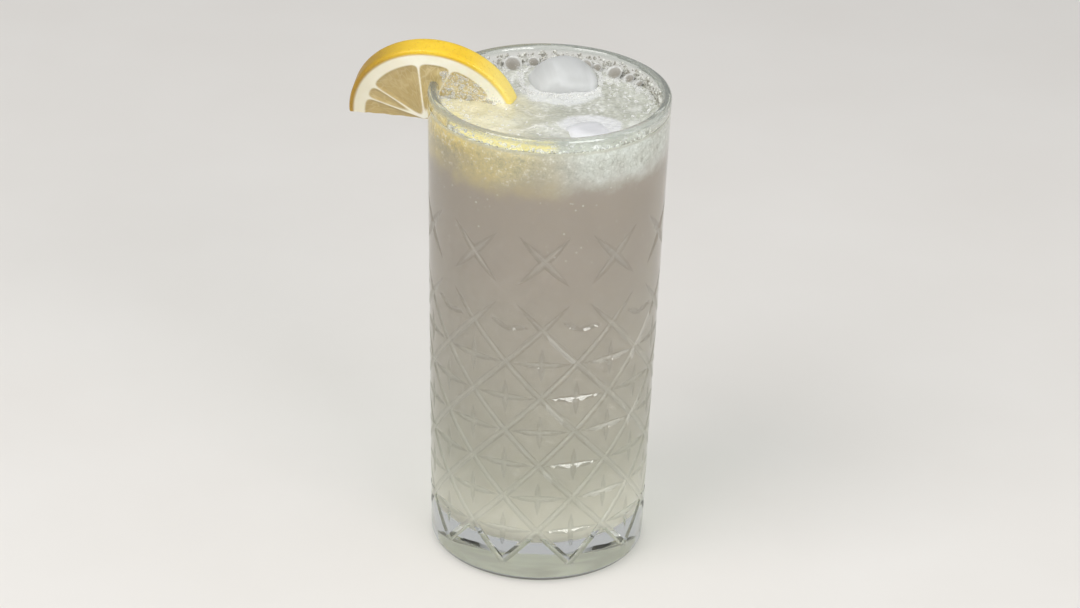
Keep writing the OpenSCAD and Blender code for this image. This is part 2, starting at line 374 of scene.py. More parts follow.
def ice_look(name, dark, light):
    look = Look(name)
    cloud = look.noise(70.0, 4.0, distortion=0.6)
    frost = look.noise(500.0, 3.0)
    ice = look.principled(
        base_color=look.mix(cloud.step(0.35, 0.65), dark, light),
        roughness=frost * 0.2 + 0.25, ior=1.31, transmission_weight=0.2,
        subsurface_weight=1.0, subsurface_radius=(1.0, 1.0, 1.0), subsurface_scale=6 * MM,
        normal=look.bump(cloud, 0.8 * MM, 0.5, look.bump(frost, 0.1 * MM, 0.3)))
    return look.finish(clear_wall(look, ice, 0.5))


def shaded_drink_look():
    look = Look("drink under bubbles, painted dark")
    tone = look.noise(300.0)
    # painted shade: the drink seen inside the large bubbles, darker than the drink round them
    drink = look.principled(
        base_color=look.mix(tone, rgb(104, 97, 84), rgb(132, 125, 110)), roughness=0.12, ior=1.33)
    return look.finish(drink)


def bubble_look():
    look = Look("bubble film")
    facing = look.node("ShaderNodeLayerWeight", sockets={"Blend": 0.35}, out="Facing")
    film = look.principled(
        base_color=look.mix(look.noise(900.0), (0.90, 0.90, 0.86), (0.99, 0.99, 0.97)),
        roughness=0.06, ior=1.4)
    see = look.node("ShaderNodeBsdfTransparent")
    skin = look.node("ShaderNodeMixShader", sockets={0: facing * 0.75 + 0.12, 1: see, 2: film})
    return look.finish(skin)


def fine_foam_look():
    look = Look("fine foam")
    tone = look.noise(850.0, 3.0, roughness=0.7)
    foam = look.principled(
        base_color=look.mix(tone.step(0.36, 0.66), rgb(156, 152, 140), rgb(232, 233, 226)),
        roughness=tone * 0.2 + 0.15, ior=1.33)
    see = look.node("ShaderNodeBsdfTransparent")
    skin = look.node("ShaderNodeMixShader", sockets={0: tone.step(0.3, 0.55) * 0.4 + 0.5, 1: see, 2: foam})
    return look.finish(skin)


def lemon_look():
    """Peel, pith and pulp, from the fields that the slice's mesh carries."""
    look = Look("cut lemon")
    peel = look.attribute("peel")
    pulp = look.attribute("pulp")
    polar = look.attribute("grain", "Vector")
    place = look.place()
    pores = look.cells(1100.0, place)
    mottle = look.noise(160.0, 4.0, place)
    zest = look.mix(mottle, rgb(220, 178, 30), rgb(235, 201, 54))
    zest = look.mix(pores.step(0.30, 0.05) * 0.3, zest, rgb(214, 172, 36))
    x, _, z = look.parts(place)
    shade = x.step(-38 * MM, -58 * MM)
    # painted highlight on the peel's right end, and painted shade on its left end
    zest = look.mix(x.step(-26 * MM, -12 * MM) * 0.7, zest, rgb(252, 233, 138))
    zest = look.mix(shade * 0.9, zest, rgb(156, 120, 40))
    pith = look.mix(mottle.step(0.3, 0.7), rgb(252, 249, 236), rgb(243, 238, 218))
    pith = look.mix(shade * 0.6, pith, rgb(206, 198, 168))
    sacs = look.cells(1.0, polar, randomness=0.9)
    sac_rim = look.cells(1.0, polar, feature="DISTANCE_TO_EDGE", randomness=0.9)
    flesh = look.mix(sacs.step(0.1, 0.75), rgb(206, 186, 132), rgb(192, 170, 114))
    flesh = look.mix(look.noise(240.0, 3.0, place).step(0.4, 0.75) * 0.5, flesh, rgb(218, 200, 148))
    flesh = look.mix(sac_rim.step(0.09, 0.0) * 0.4, flesh, rgb(240, 228, 186))
    # painted shade on the flesh at the left end
    flesh = look.mix(x.step(-30 * MM, -44 * MM) * 0.6, flesh, rgb(172, 150, 100))
    # wet and pale under the bubbles that cling to it
    wet = z.step(LEVEL + 10 * MM, LEVEL + 6 * MM) * x.step(-34 * MM, -30 * MM)
    flesh = look.mix(wet * 0.5, flesh, rgb(240, 230, 200))
    colour = look.mix(peel, look.mix(pulp, pith, flesh), zest)
    rough = peel * 0.12 + (1.0 - pulp) * 0.25 + 0.12
    dents = look.bump(pores.step(0.0, 0.4) * peel, 0.25 * MM, 0.7)
    juice = look.bump(sac_rim.step(0.0, 0.3) * pulp, 0.15 * MM, 0.35, dents)
    fibre = look.bump(look.noise(900.0, 3.0, place), 0.1 * MM, 0.4, juice)
    lemon = look.principled(
        base_color=colour, roughness=rough, ior=1.4, subsurface_weight=0.4,
        subsurface_radius=(1.0, 0.85, 0.5), subsurface_scale=2 * MM, coat_weight=0.15, normal=fibre)
    return look.finish(lemon)


def floor_look():
    look = Look("pale floor")
    grain = look.noise(14.0, 4.0)
    floor = look.principled(
        base_color=look.mix(grain, rgb(222, 218, 212), rgb(228, 225, 220)),
        roughness=grain * 0.1 + 0.5, specular_ior_level=0.25)
    return look.finish(floor)


# ---------------------------------------------------------------- mesh helpers


def piece(name, points, faces, materials, which=None, sharp=None, slot=None, replaces=None):
    """A smooth-shaded mesh that rides on the part's body."""
    mesh = bpy.data.meshes.new(name)
    mesh.from_pydata([tuple(p) for p in points], [], [tuple(f) for f in faces])
    mesh.validate()
    for material in materials:
        mesh.materials.append(material)
    mesh.polygons.foreach_set("use_smooth", [True] * len(mesh.polygons))
    if which is not None:
        mesh.polygons.foreach_set("material_index", which)
    mesh.update()
    if sharp is not None:
        mesh.set_sharp_from_angle(angle=math.radians(sharp))
    made = bpy.data.objects.new(name, mesh)
    bpy.context.scene.collection.objects.link(made)
    if slot:
        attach(made, "root")
    if replaces:
        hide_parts(replaces)
    return made


def lathe_faces(rings, columns, first=0):
    """Quads between neighbouring rings of points, wrapping round."""
    faces = []
    for i in range(rings - 1):
        low = first + i * columns
        high = low + columns
        for k in range(columns):
            n = (k + 1) % columns
            faces.append((low + k, low + n, high + n, high + k))
    return faces


def arc(centre_r, centre_z, radius, start, stop, steps):
    """Points (r, z) along an arc, angles in degrees from the outward direction."""
    turn = np.radians(np.linspace(start, stop, steps + 1))
    return [(centre_r + radius * math.cos(t), centre_z + radius * math.sin(t)) for t in turn]


def around_points(radius, z, columns):
    """Points of one ring. Angle 0 faces the front, and it grows towards the right."""
    turn = np.arange(columns) * 2 * np.pi / columns
    return np.stack([radius * np.sin(turn), -radius * np.cos(turn), np.broadcast_to(z, turn.shape)], 1)


# ---------------------------------------------------------------- the cut glass

DIAMONDS = 10                         # diamonds round the glass
CELLS = 20                            # mesh cells across half a diamond
HALF_ROW = 11.72 * MM                 # half the height of a diamond
PATTERN_Z = 7.2 * MM                  # lowest points of the pattern
GROOVE_HALF = 1.2 * MM
GROOVE_D = 0.75 * MM
TOP_ROW = 7                           # half rows up to where the long grooves start to run out
RUN_OUT = 0.72                        # half rows that they take to run out
CROSS_ROW = 8.95                      # middle of the row of crossed cuts, in half rows
CROSS_HALF = 0.72                     # half its height, in half rows
# half length, half width and depth of the wheel's cuts
STAR_LEVEL = (9.4 * MM, 1.17 * MM, 0.73 * MM)
STAR_UPRIGHT = (6.2 * MM, 1.1 * MM, 0.5 * MM)
BIRD_LEFT = (3.6 * MM, 1.0 * MM, 0.6 * MM)
BIRD_RIGHT = (4.6 * MM, 0.95 * MM, 0.6 * MM)
CROSS_HALF_WIDTH = 1.5 * MM
CROSS_DEPTH = 0.75 * MM
KICK = 0.5 * MM                       # the underside is a little hollow, and stands on a ring
COLUMNS = 2 * DIAMONDS * CELLS
HALF_COLUMN = side_r(GLASS_H / 2) * math.pi / DIAMONDS


def nearest(values, period):
    """Distance to the nearest multiple of period."""
    return np.abs((values + period / 2) % period - period / 2)


def wheel_cut(along, across, half_length, half_width, depth):
    """Depth of a cut that a wheel leaves: deepest and widest at its middle, pointed at its ends."""
    return np.maximum(0, depth * (1 - (along / half_length) ** 2) - np.abs(across) * depth / half_width)


def cut_depth(u, v):
    """How deep the pattern is at u half columns round and v half rows up."""
    per_length = math.hypot(1 / HALF_ROW, 1 / HALF_COLUMN)
    taper = np.clip(1 - (v - TOP_ROW) / RUN_OUT, 0, 1) ** 0.6 * np.clip(1 + v / 0.06, 0, 1)
    depth = np.zeros_like(u)
    for lean in (1, -1):
        away = nearest(v - lean * u - 1, 2) / per_length
        depth = np.maximum(depth, GROOVE_D * taper - away * GROOVE_D / GROOVE_HALF)
    # stars in the middles of the diamonds
    row = np.round(v)
    for middle in (row, row - 1, row + 1):
        centre = 2 * np.round((u - middle) / 2) + middle
        along = (u - centre) * HALF_COLUMN
        up = (v - middle) * HALF_ROW
        inside = (middle >= 1) & (middle < TOP_ROW)
        level = wheel_cut(along, up, *STAR_LEVEL)
        upright = wheel_cut(up, along, *STAR_UPRIGHT)
        depth = np.where(inside, np.maximum(depth, np.maximum(level, upright)), depth)
        # the open top diamonds hold a bird-shaped pair of cuts
        bird_left = wheel_cut(along + 2.0 * MM, up + 0.55 * along, *BIRD_LEFT)
        bird_right = wheel_cut(along - 3.2 * MM, up - 0.12 * along, *BIRD_RIGHT)
        depth = np.where(middle == TOP_ROW, np.maximum(depth, np.maximum(bird_left, bird_right)), depth)
    # the row of crossed cuts above
    across = (u + 1) % 2 - 1
    rise = v - CROSS_ROW
    half_length = CROSS_HALF * math.hypot(HALF_ROW, HALF_COLUMN)
    for lean in (1, -1):
        along = (across + lean * rise) / 2 * math.hypot(HALF_ROW, HALF_COLUMN)
        off = (rise - lean * across) / per_length
        depth = np.maximum(depth, wheel_cut(along, off, half_length, CROSS_HALF_WIDTH, CROSS_DEPTH))
    return np.maximum(depth, 0)


def make_glass(material):
    """The tumbler as one closed mesh: cut side, lip, bore, floor and foot."""
    first_row = -4
    last_row = int(round((CROSS_ROW + CROSS_HALF) * CELLS)) + 3
    rows = np.arange(first_row, last_row + 1)
    step = HALF_ROW / CELLS
    turn = np.arange(COLUMNS) / CELLS
    points = [np.array([[0, 0, KICK]])]
    heel = arc(side_r(HEEL_R) - HEEL_R, HEEL_R, HEEL_R, -90, 0, 6)
    for r, z in [(0.3 * heel[0][0], KICK), (0.75 * heel[0][0], 0.6 * KICK)] + heel[:-1]:
        points.append(around_points(r, z, COLUMNS))
    cut_from = len(points) - 1
    for i in rows:
        z = PATTERN_Z + i * step
        depth = cut_depth(turn, np.full(COLUMNS, i / CELLS))
        points.append(around_points(side_r(z) - depth, z, COLUMNS))
    cut_to = len(points) - 2
    top = PATTERN_Z + last_row * step
    for z in np.linspace(top, GLASS_H - LIP_R, 4)[1:-1]:
        points.append(around_points(side_r(z), z, COLUMNS))
    lip_z = GLASS_H - LIP_R
    lip = arc(side_r(lip_z) - LIP_R, lip_z, LIP_R, 0, 90, 5)
    lip += arc(bore_r(lip_z) + LIP_R, lip_z, LIP_R, 90, 180, 5)
    for r, z in lip:
        points.append(around_points(r, z, COLUMNS))
    corner_z = BASE_T + FLOOR_R
    for z in np.linspace(lip_z, corner_z, 5)[1:-1]:
        points.append(around_points(bore_r(z), z, COLUMNS))
    floor = arc(bore_r(corner_z) - FLOOR_R, corner_z, FLOOR_R, 0, -90, 7)
    for r, z in floor + [(r * floor[-1][0], BASE_T) for r in (0.7, 0.35)]:
        points.append(around_points(r, z, COLUMNS))
    rings = len(points) - 1
    points.append(np.array([[0, 0, BASE_T]]))
    points = np.concatenate(points)
    last = len(points) - 1
    faces = []
    for k in range(COLUMNS):
        n = (k + 1) % COLUMNS
        faces.append((0, 1 + n, 1 + k))
        faces.append((last, last - COLUMNS + k, last - COLUMNS + n))
    for i in range(rings - 1):
        low = 1 + i * COLUMNS
        cut = cut_from <= i <= cut_to
        v = (first_row + i - cut_from + 0.5) / CELLS
        for k in range(COLUMNS):
            n = (k + 1) % COLUMNS
            a, b, c, d = low + k, low + n, low + n + COLUMNS, low + k + COLUMNS
            if not cut:
                faces.append((a, b, c, d))
                continue
            # split each cell along the grooves, so that they stay crisp
            u = (k + 0.5) / CELLS
            if v > TOP_ROW + 1:
                rising = (v - CROSS_ROW) * ((u + 1) % 2 - 1) > 0
            else:
                rising = nearest(v - u - 1, 2) < nearest(v + u - 1, 2)
            faces += [(a, b, c), (a, c, d)] if rising else [(a, b, d), (b, c, d)]
    return piece("cut_glass", points, faces, [material], sharp=17, slot="glass", replaces="glass")


# ---------------------------------------------------------------- the drink


def waves(x, y, size, count, rng):
    """Smooth unevenness from a few sine waves, about -1 to 1."""
    total = np.zeros_like(x)
    for _ in range(count):
        heading = rng.uniform(0, 2 * np.pi)
        length = size * rng.uniform(0.7, 1.6)
        phase = rng.uniform(0, 2 * np.pi)
        total += np.sin((x * math.cos(heading) + y * math.sin(heading)) * 2 * np.pi / length + phase)
    return total / math.sqrt(count)


def make_drink(side, top):
    """The drink up to its level, a little into the wall, with a risen edge and an uneven froth."""
    columns, out_rings = 256, 90
    grow = INTO_WALL
    corner_z = BASE_T + FLOOR_R
    points = [np.array([[0, 0, BASE_T - grow]])]
    floor = arc(bore_r(corner_z) - FLOOR_R, corner_z, FLOOR_R + grow, -90, 0, 12)
    profile = [(r * floor[0][0], BASE_T - grow) for r in (0.3, 0.6)] + floor
    edge_rise = 0.3 * MM
    profile += [(bore_r(z) + grow, z) for z in np.linspace(corner_z, FROTH + edge_rise, 40)[1:]]
    for r, z in profile:
        points.append(around_points(r, z, columns))
    side_rings = len(profile)
    edge = bore_r(LEVEL)
    for share in np.linspace(1, 0, out_rings + 1)[:-1]:
        r = edge * share
        ring = around_points(r, FROTH, columns)
        rise = edge_rise * np.exp(-(edge - r) / (0.9 * MM))
        froth = 0.16 * MM * waves(ring[:, 0], ring[:, 1], 7 * MM, 9, np.random.default_rng(3))
        froth += 0.05 * MM * waves(ring[:, 0], ring[:, 1], 2 * MM, 9, np.random.default_rng(4))
        ring[:, 2] += rise + froth * min(1, (edge - r) / (2 * MM)) - IN_FROTH
        points.append(ring)
    rings = len(points) - 1
    points.append(np.array([[0, 0, FROTH]]))
    points = np.concatenate(points)
    last = len(points) - 1
    faces = [(0, 1 + (k + 1) % columns, 1 + k) for k in range(columns)]
    faces += [(last, last - columns + k, last - columns + (k + 1) % columns) for k in range(columns)]
    which = [0] * columns + [1] * columns
    faces += lathe_faces(rings, columns, first=1)
    which += [0 if i < side_rings - 1 else 1 for i in range(rings - 1) for _ in range(columns)]
    return piece("lemonade_body", points, faces, [side, top], which, slot="lemonade", replaces="lemonade")


# ---------------------------------------------------------------- ice


ICE_H = 22 * MM
ICE_BACK = (23.5 * MM, 20 * MM, ICE_H)
ICE_FRONT = (20 * MM, 20 * MM, ICE_H)
ICE_BACK_TOP = Matrix.Translation((3 * MM, bore_r(LEVEL) - 14.5 * MM, LEVEL + 7.5 * MM)) \
    @ Matrix.Rotation(math.radians(8), 4, "Z") @ Matrix.Rotation(math.radians(-5), 4, "Y") \
    @ Matrix.Rotation(math.radians(4), 4, "X")
ICE_FRONT_TOP = Matrix.Rotation(math.radians(34), 4, "Z") \
    @ Matrix.Translation((0, 12.2 * MM - bore_r(LEVEL), LEVEL + 1.7 * MM))


def make_ice(name, node, material, size, top, seed, dome):
    """A cube worn round by the drink, with a domed top, in its solid's own place."""
    n = 28
    points, index, faces = [], {}, []

    def corner(p):
        key = tuple(np.round(p, 6))
        if key not in index:
            index[key] = len(points)
            points.append(p)
        return index[key]

    grid = np.linspace(-1, 1, n + 1)
    for axis in range(3):
        for side in (-1, 1):
            for i in range(n):
                for j in range(n):
                    quad = []
                    for a, b in ((i, j), (i + 1, j), (i + 1, j + 1), (i, j + 1)):
                        p = np.zeros(3)
                        p[axis] = side
                        p[(axis + 1) % 3] = grid[a]
                        p[(axis + 2) % 3] = grid[b]
                        quad.append(corner(p))
                    faces.append(quad if side > 0 else quad[::-1])
    p = np.array(points)
    p = p / (np.abs(p) ** CUBE_SHAPE).sum(1)[:, None] ** (1 / CUBE_SHAPE)
    rng = np.random.default_rng(seed)
    for _ in range(6):
        way = rng.normal(size=3)
        way /= np.linalg.norm(way)
        p *= 1 - 0.04 * np.exp(-((p - way * 1.1) ** 2).sum(1) / 0.2)[:, None]
    p /= np.abs(p).max(0)
    p[:, 2] -= dome * ((p[:, 0] - 0.05) ** 2 + 0.5 * p[:, 1] ** 2) * np.clip(p[:, 2], 0, 1)
    taper = 1 - 0.06 * (1 - p[:, 2:])
    p[:, :2] *= taper
    local = p * np.array(size) / 2 - (0, 0, size[2] / 2)
    place = np.array(top)
    return piece(name, local @ place[:3, :3].T + place[:3, 3], faces, [material], slot="ice", replaces=node)


# ---------------------------------------------------------------- lemon slice

SLICE_R = 26.0 * MM
SLICE_T = 6.5 * MM
SLICE_YAW = 10
SLICE_LEAN = 15
SLIT = 14.0 * MM
SLICE_SHARP = 50                      # edges that turn by more degrees than this stay sharp
PEEL = 1.5 * MM
PULP_R = 20.9 * MM
HEART = (-2.6 * MM, 0.2 * MM)         # where the membranes meet, on the cut face
MEMBRANES = (0, 27, 65, 93, 145, 161, 180)  # their directions, in degrees
SLICE_PLACE = Matrix.Translation((-bore_r(GLASS_H) - WALL / 2, 7 * MM, GLASS_H - SLIT)) \
    @ Matrix.Rotation(math.radians(-SLICE_YAW), 4, "Z") \
    @ Matrix.Rotation(math.radians(90 + SLICE_LEAN), 4, "X")


def pulp_field(x, y):
    """How far inside a segment's flesh a point of the cut face lies, in metres, and its direction."""
    dx, dy = x - HEART[0], y - HEART[1]
    direction = np.degrees(np.arctan2(dy, dx))
    reach = np.hypot(dx, dy)
    best = np.full_like(x, -1.0)
    soft = 0.9 * MM
    for a, b in zip(MEMBRANES[:-1], MEMBRANES[1:]):
        start, stop = math.radians(a), math.radians(b)
        from_start = -dx * math.sin(start) + dy * math.cos(start) - 0.28 * MM
        from_stop = dx * math.sin(stop) - dy * math.cos(stop) - 0.28 * MM
        if a == 0:
            from_start = from_start + 3 * MM
        if b == 180:
            from_stop = from_stop + 3 * MM
        from_rim = PULP_R - np.hypot(x, y)
        smallest = np.minimum(np.minimum(from_start, from_stop), from_rim)
        blend = -soft * np.log(sum(np.exp(-(d - smallest) / soft) for d in (from_start, from_stop, from_rim)))
        best = np.maximum(best, smallest + blend + 0.1 * MM)
    return best, direction, reach


def slice_fields(made):
    """Stores on the mesh what its material needs: peel, pulp, and a grain that runs out from the heart."""
    mesh = made.data
    count = len(mesh.vertices)
    flat = np.empty(count * 3)
    mesh.vertices.foreach_get("co", flat)
    back = np.array(SLICE_PLACE.inverted())
    local = flat.reshape(-1, 3) @ back[:3, :3].T + back[:3, 3]
    x, y, z = local.T
    radius = np.hypot(x, y)
    inside, direction, reach = pulp_field(x, y)
    peel = np.clip((radius - (SLICE_R - PEEL - 0.35 * MM)) / (0.7 * MM), 0, 1)
    pulp = np.clip(inside / (0.35 * MM) + 0.5, 0, 1)
    grain = np.stack([direction / 5.5, reach / (4.5 * MM), z / (3 * MM)], 1)
    for name, kind, values, field in (
            ("peel", "FLOAT", peel, "value"), ("pulp", "FLOAT", pulp, "value"),
            ("grain", "FLOAT_VECTOR", grain.ravel(), "vector")):
        mesh.attributes.new(name, kind, "POINT").data.foreach_set(field, values)


def make_slice(material):
    """Half a wheel with raised membranes, sunk pulp and rounded peel, slit where the glass goes through."""
    across, steps = 72, 220
    radii = SLICE_R * np.linspace(0, 1, across + 1)[1:] ** 0.85
    turns = np.linspace(0, math.pi, steps + 1)
    edge = 0.7 * MM
    rings = []                        # one closed outline per turn: front face out, peel, back face in
    for t in turns:
        x, y = radii * math.cos(t), radii * math.sin(t)
        inside, _, reach = pulp_field(x, y)
        sunk = 0.35 * MM * np.clip(inside / (0.8 * MM), 0, 1)
        sunk -= 0.12 * MM * np.clip(inside / (2 * MM), 0, 1) * np.sin(reach / (0.9 * MM) + 9 * t)
        round_off = np.maximum(0, radii - (SLICE_R - edge))
        round_off = edge - np.sqrt(np.maximum(0, edge ** 2 - round_off ** 2))
        front = np.stack([x, y, -sunk - round_off], 1)
        back = np.stack([x, y, -SLICE_T + sunk + round_off], 1)
        rim = (SLICE_R * math.cos(t), SLICE_R * math.sin(t))
        middle = np.array([[*rim, -SLICE_T * s] for s in (0.25, 0.5, 0.75)])
        rings.append(np.concatenate([[[0, 0, 0]], front, middle, back[::-1], [[0, 0, -SLICE_T]]]))
    size = len(rings[0])
    local = np.concatenate(rings)
    place = np.array(SLICE_PLACE)
    points = local @ place[:3, :3].T + place[:3, 3]
    faces = []
    for i in range(steps):
        for k in range(size - 1):
            a, b = i * size + k, i * size + k + 1
            faces.append((a, b, b + size, a + size))
    # the straight cut edge: both half outlines are closed across the thickness
    for i, flip in ((0, False), (steps, True)):
        outline = [i * size + k for k in range(size)]
        faces.append(outline[::-1] if not flip else outline)
    made = piece("lemon_half_slice", points, faces, [material], sharp=SLICE_SHARP,
                 slot="lemon", replaces="lemon_slice")
    work = bpy.data.meshes.new("slit_space")
    gap = -0.1 * MM                    # the soft slice is pressed on the wall
    low = LEVEL - SLICE_R
    section = [(bore_r(low) - gap, low), (side_r(low) + gap, low),
               (side_r(GLASS_H) + gap, GLASS_H - 1.0 * MM), (side_r(GLASS_H) - 0.8 * MM, GLASS_H + gap),
               (bore_r(GLASS_H) + 0.8 * MM, GLASS_H + gap), (bore_r(GLASS_H) - gap, GLASS_H - 1.0 * MM)]
    columns = 256
    ring_points = np.concatenate([around_points(r, z, columns) for r, z in section + section[:1]][:-1])
    ring_faces = []
    for i in range(len(section)):
        n = (i + 1) % len(section)
        for k in range(columns):
            m = (k + 1) % columns
            ring_faces.append((i * columns + k, i * columns + m, n * columns + m, n * columns + k))
    work.from_pydata([tuple(p) for p in ring_points], [], ring_faces)
    cutter = bpy.data.objects.new("slit_space", work)
    bpy.context.scene.collection.objects.link(cutter)
    weld(made)
    cut = made.modifiers.new("slit", "BOOLEAN")
    cut.operation = "DIFFERENCE"
    cut.solver = "EXACT"
    cut.object = cutter
    apply_modifiers(made)
    bpy.data.objects.remove(cutter)
    made.data.polygons.foreach_set("use_smooth", [True] * len(made.data.polygons))
    made.data.set_sharp_from_angle(angle=math.radians(SLICE_SHARP))
    slice_fields(made)
    return made


def weld(made):
    """Joins points that lie on each other."""
    work = bmesh.new()
    work.from_mesh(made.data)
    bmesh.ops.remove_doubles(work, verts=work.verts, dist=1e-6)
    bmesh.ops.recalc_face_normals(work, faces=work.faces)
    work.to_mesh(made.data)
    work.free()


def apply_modifiers(made):
    """Keeps the mesh that the modifiers give, and drops them."""
    graph = bpy.context.evaluated_depsgraph_get()
    done = bpy.data.meshes.new_from_object(made.evaluated_get(graph))
    made.modifiers.clear()
    made.data = done


# ---------------------------------------------------------------- bubbles

FROTH_COUNT = 1900
WALL_COUNT = 1700
ICE_FOAM_COUNT = 420
SLICE_COUNT = 420
LARGE_BUBBLES = ((-11.5, 2.9), (-5.2, 1.9), (-1.5, 1.4), (7.8, 1.5), (10.6, 2.4), (14.2, 1.6), (19.5, 2.6),
                 (24.0, 1.8), (-17.5, 1.6), (4.6, 1.2), (27.0, 1.3))  # place along the back and radius, in mm


def domes(name, centres, radii, ups, material, slot, flat=0.75, rings=3, around=9):
    """Many small closed domes as one mesh, each standing on its own spot."""
    tilt = np.linspace(0, math.pi / 2, rings + 1)[1:]
    turn = np.arange(around) * 2 * math.pi / around
    unit = [(0, 0, flat)]
    for t in tilt:
        unit += [(math.sin(t) * math.cos(a), math.sin(t) * math.sin(a), flat * math.cos(t)) for a in turn]
    unit = np.array(unit)
    faces = [(0, 1 + k, 1 + (k + 1) % around) for k in range(around)]
    faces += [(a, d, c, b) for a, b, c, d in lathe_faces(rings, around, first=1)]
    faces.append(tuple(reversed(range(len(unit) - around, len(unit)))))
    all_points, all_faces = [], []
    for centre, radius, up in zip(centres, radii, ups):
        up = up / np.linalg.norm(up)
        side = np.cross(up, (0.31, 0.87, 0.38))
        side /= np.linalg.norm(side)
        turned = np.stack([side, np.cross(up, side), up])
        start = len(all_points) * len(unit)
        all_points.append(centre + (unit * radius) @ turned)
        all_faces += [tuple(start + i for i in f) for f in faces]
    return piece(name, np.concatenate(all_points), all_faces, [material], sharp=60, slot=slot)


def in_box(x, y, node, margin):
    low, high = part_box(node)
    return low[0] + margin < x < high[0] - margin and low[1] + margin < y < high[1] - margin


def make_froth(material):
    """Fine bubbles all over the surface, closer and larger towards the wall."""
    rng = np.random.default_rng(21)
    edge = bore_r(LEVEL)
    centres, radii = [], []
    while len(centres) < FROTH_COUNT:
        r = edge * math.sqrt(rng.uniform(0, 1))
        t = rng.uniform(0, 2 * math.pi)
        x, y = r * math.sin(t), -r * math.cos(t)
        size = rng.gamma(3.0, 0.07) * MM
        near_wall = math.exp(-(edge - r) / (4 * MM))
        behind = y > 8 * MM
        size *= 1 + 1.3 * near_wall * (1.5 if behind else 0.6)
        size = min(size, 1.9 * MM)
        if in_box(x, y, "ice_back", 2.5 * MM) or r > edge - 0.5 * size:
            continue
        if in_box(x, y, "ice_front", 3 * MM) and rng.uniform() < 0.8:
            continue
        if rng.uniform() > 0.12 + 0.88 * near_wall + 0.2 * behind:
            continue
        centres.append((x, y, FROTH - IN_FROTH))
        radii.append(size)
    ups = np.tile((0, 0, 1.0), (len(centres), 1))
    return domes("froth_bubbles", np.array(centres), radii, ups, material, "lemonade")


def large_bubble_spots():
    """Centres and radii of the few large clear bubbles that lean on the wall at the back."""
    edge = bore_r(LEVEL)
    centres, radii = [], []
    for x, radius in LARGE_BUBBLES:
        x, radius = x * MM, radius * MM
        r = edge - 0.9 * radius
        centres.append((x, math.sqrt(max(0, r * r - x * x)), FROTH + 0.35 * radius))
        radii.append(radius)
    return np.array(centres), radii


def make_large_bubbles(film, shaded_liquid):
    """Their films, and under each a disc of drink where the froth is parted, painted dark as the shade inside
    the bubble.
    """
    centres, radii = large_bubble_spots()
    edge = bore_r(LEVEL)
    ups = np.array([(-0.6 * x / edge, -0.6 * y / edge, 0.8) for x, y, _ in centres])
    domes("large_bubbles", centres, radii, ups, film, "lemonade", flat=0.8, rings=8, around=24)
    domes("bubble_floors", centres + (0, 0, 0.1 * MM), [r * 0.8 for r in radii], ups, shaded_liquid, "lemonade",
          flat=0.12, rings=3, around=24)


def make_wall_bubbles(material):
    """Small bubbles that cling to the inside of the wall just above the drink."""
    rng = np.random.default_rng(44)
    centres, radii, ups = [], [], []
    while len(centres) < WALL_COUNT:
        t = rng.uniform(0, 2 * math.pi)
        back = 0.5 - 0.5 * math.cos(t)
        z = LEVEL + rng.exponential(0.5 + 2.2 * back) * MM
        if z > LEVEL + 4.4 * MM or rng.uniform() > 0.15 + 0.85 * back:
            continue
        size = min(1.0, rng.gamma(3.0, 0.11)) * MM
        r = bore_r(z) - 0.05 * MM
        centres.append((r * math.sin(t), -r * math.cos(t), z))
        radii.append(size)
        ups.append((-math.sin(t), math.cos(t), 0))
    return domes("wall_bubbles", np.array(centres), radii, np.array(ups), material, "lemonade")


def make_ice_foam(material):
    """A ragged ring of fine foam where the back ice comes out of the drink."""
    rng = np.random.default_rng(52)
    low, high = map(np.array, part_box("ice_back"))
    middle = (low + high) / 2
    half = (high - low) / 2
    centres, radii = [], []
    while len(centres) < ICE_FOAM_COUNT:
        t = rng.uniform(0, 2 * math.pi)
        reach = (abs(math.cos(t)) ** CUBE_SHAPE + abs(math.sin(t)) ** CUBE_SHAPE) ** (-1 / CUBE_SHAPE)
        out = 0.93 + rng.gamma(2.0, 0.05)
        x = middle[0] + half[0] * reach * out * math.cos(t)
        y = middle[1] + half[1] * reach * out * math.sin(t)
        if math.hypot(x, y) > bore_r(LEVEL) - 1.2 * MM:
            continue
        centres.append((x, y, FROTH - IN_FROTH + max(0, 1.05 - out) * 3 * MM))
        radii.append(min(0.9, rng.gamma(3.0, 0.11)) * MM)
    ups = np.tile((0, 0, 1.0), (len(centres), 1))
    return domes("ice_foam", np.array(centres), radii, ups, material, "lemonade")


def make_slice_bubbles(material):
    """Bubbles that cling to the wet lower part of the slice inside the glass."""
    rng = np.random.default_rng(33)
    place = np.array(SLICE_PLACE)
    centres, radii = [], []
    while len(centres) < SLICE_COUNT:
        x = rng.uniform(2.5, 22.5) * MM
        y = rng.uniform(6.5, 19.0) * MM
        if math.hypot(x, y) > SLICE_R - 2 * MM or y > 21.5 * MM - 0.62 * abs(x - 4 * MM):
            continue
        centres.append((x, y, -0.15 * MM))
        radii.append(min(0.95, rng.gamma(3.0, 0.10)) * MM)
    points = np.array(centres) @ place[:3, :3].T + place[:3, 3]
    keep = np.hypot(points[:, 0], points[:, 1]) < bore_r(LEVEL) - 1.0 * MM
    ups = np.tile(place[:3, 2], (len(points), 1))[keep]
    return domes("slice_bubbles", points[keep], np.array(radii)[keep], ups, material, "lemonade")


# ---------------------------------------------------------------- floor, lamps and camera

FLOOR_HALF = 3.0
CAMERA_TARGET = (-1.04 * MM, 0, 80.17 * MM)
CAMERA_ELEVATION = 27.27
CAMERA_DISTANCE = 1.0608
CAMERA_ROLL = 1.71
CAMERA_LENS = 115
LAMPS = (                             # name, azimuth, elevation, distance, width, height, power
    ("key", 36, 31, 1.3, 0.66, 0.34, 6.6),
    ("fill", -50, 50, 1.5, 0.9, 0.9, 14),
    ("side", 68, 13, 1.3, 0.8, 0.42, 2.2),
)


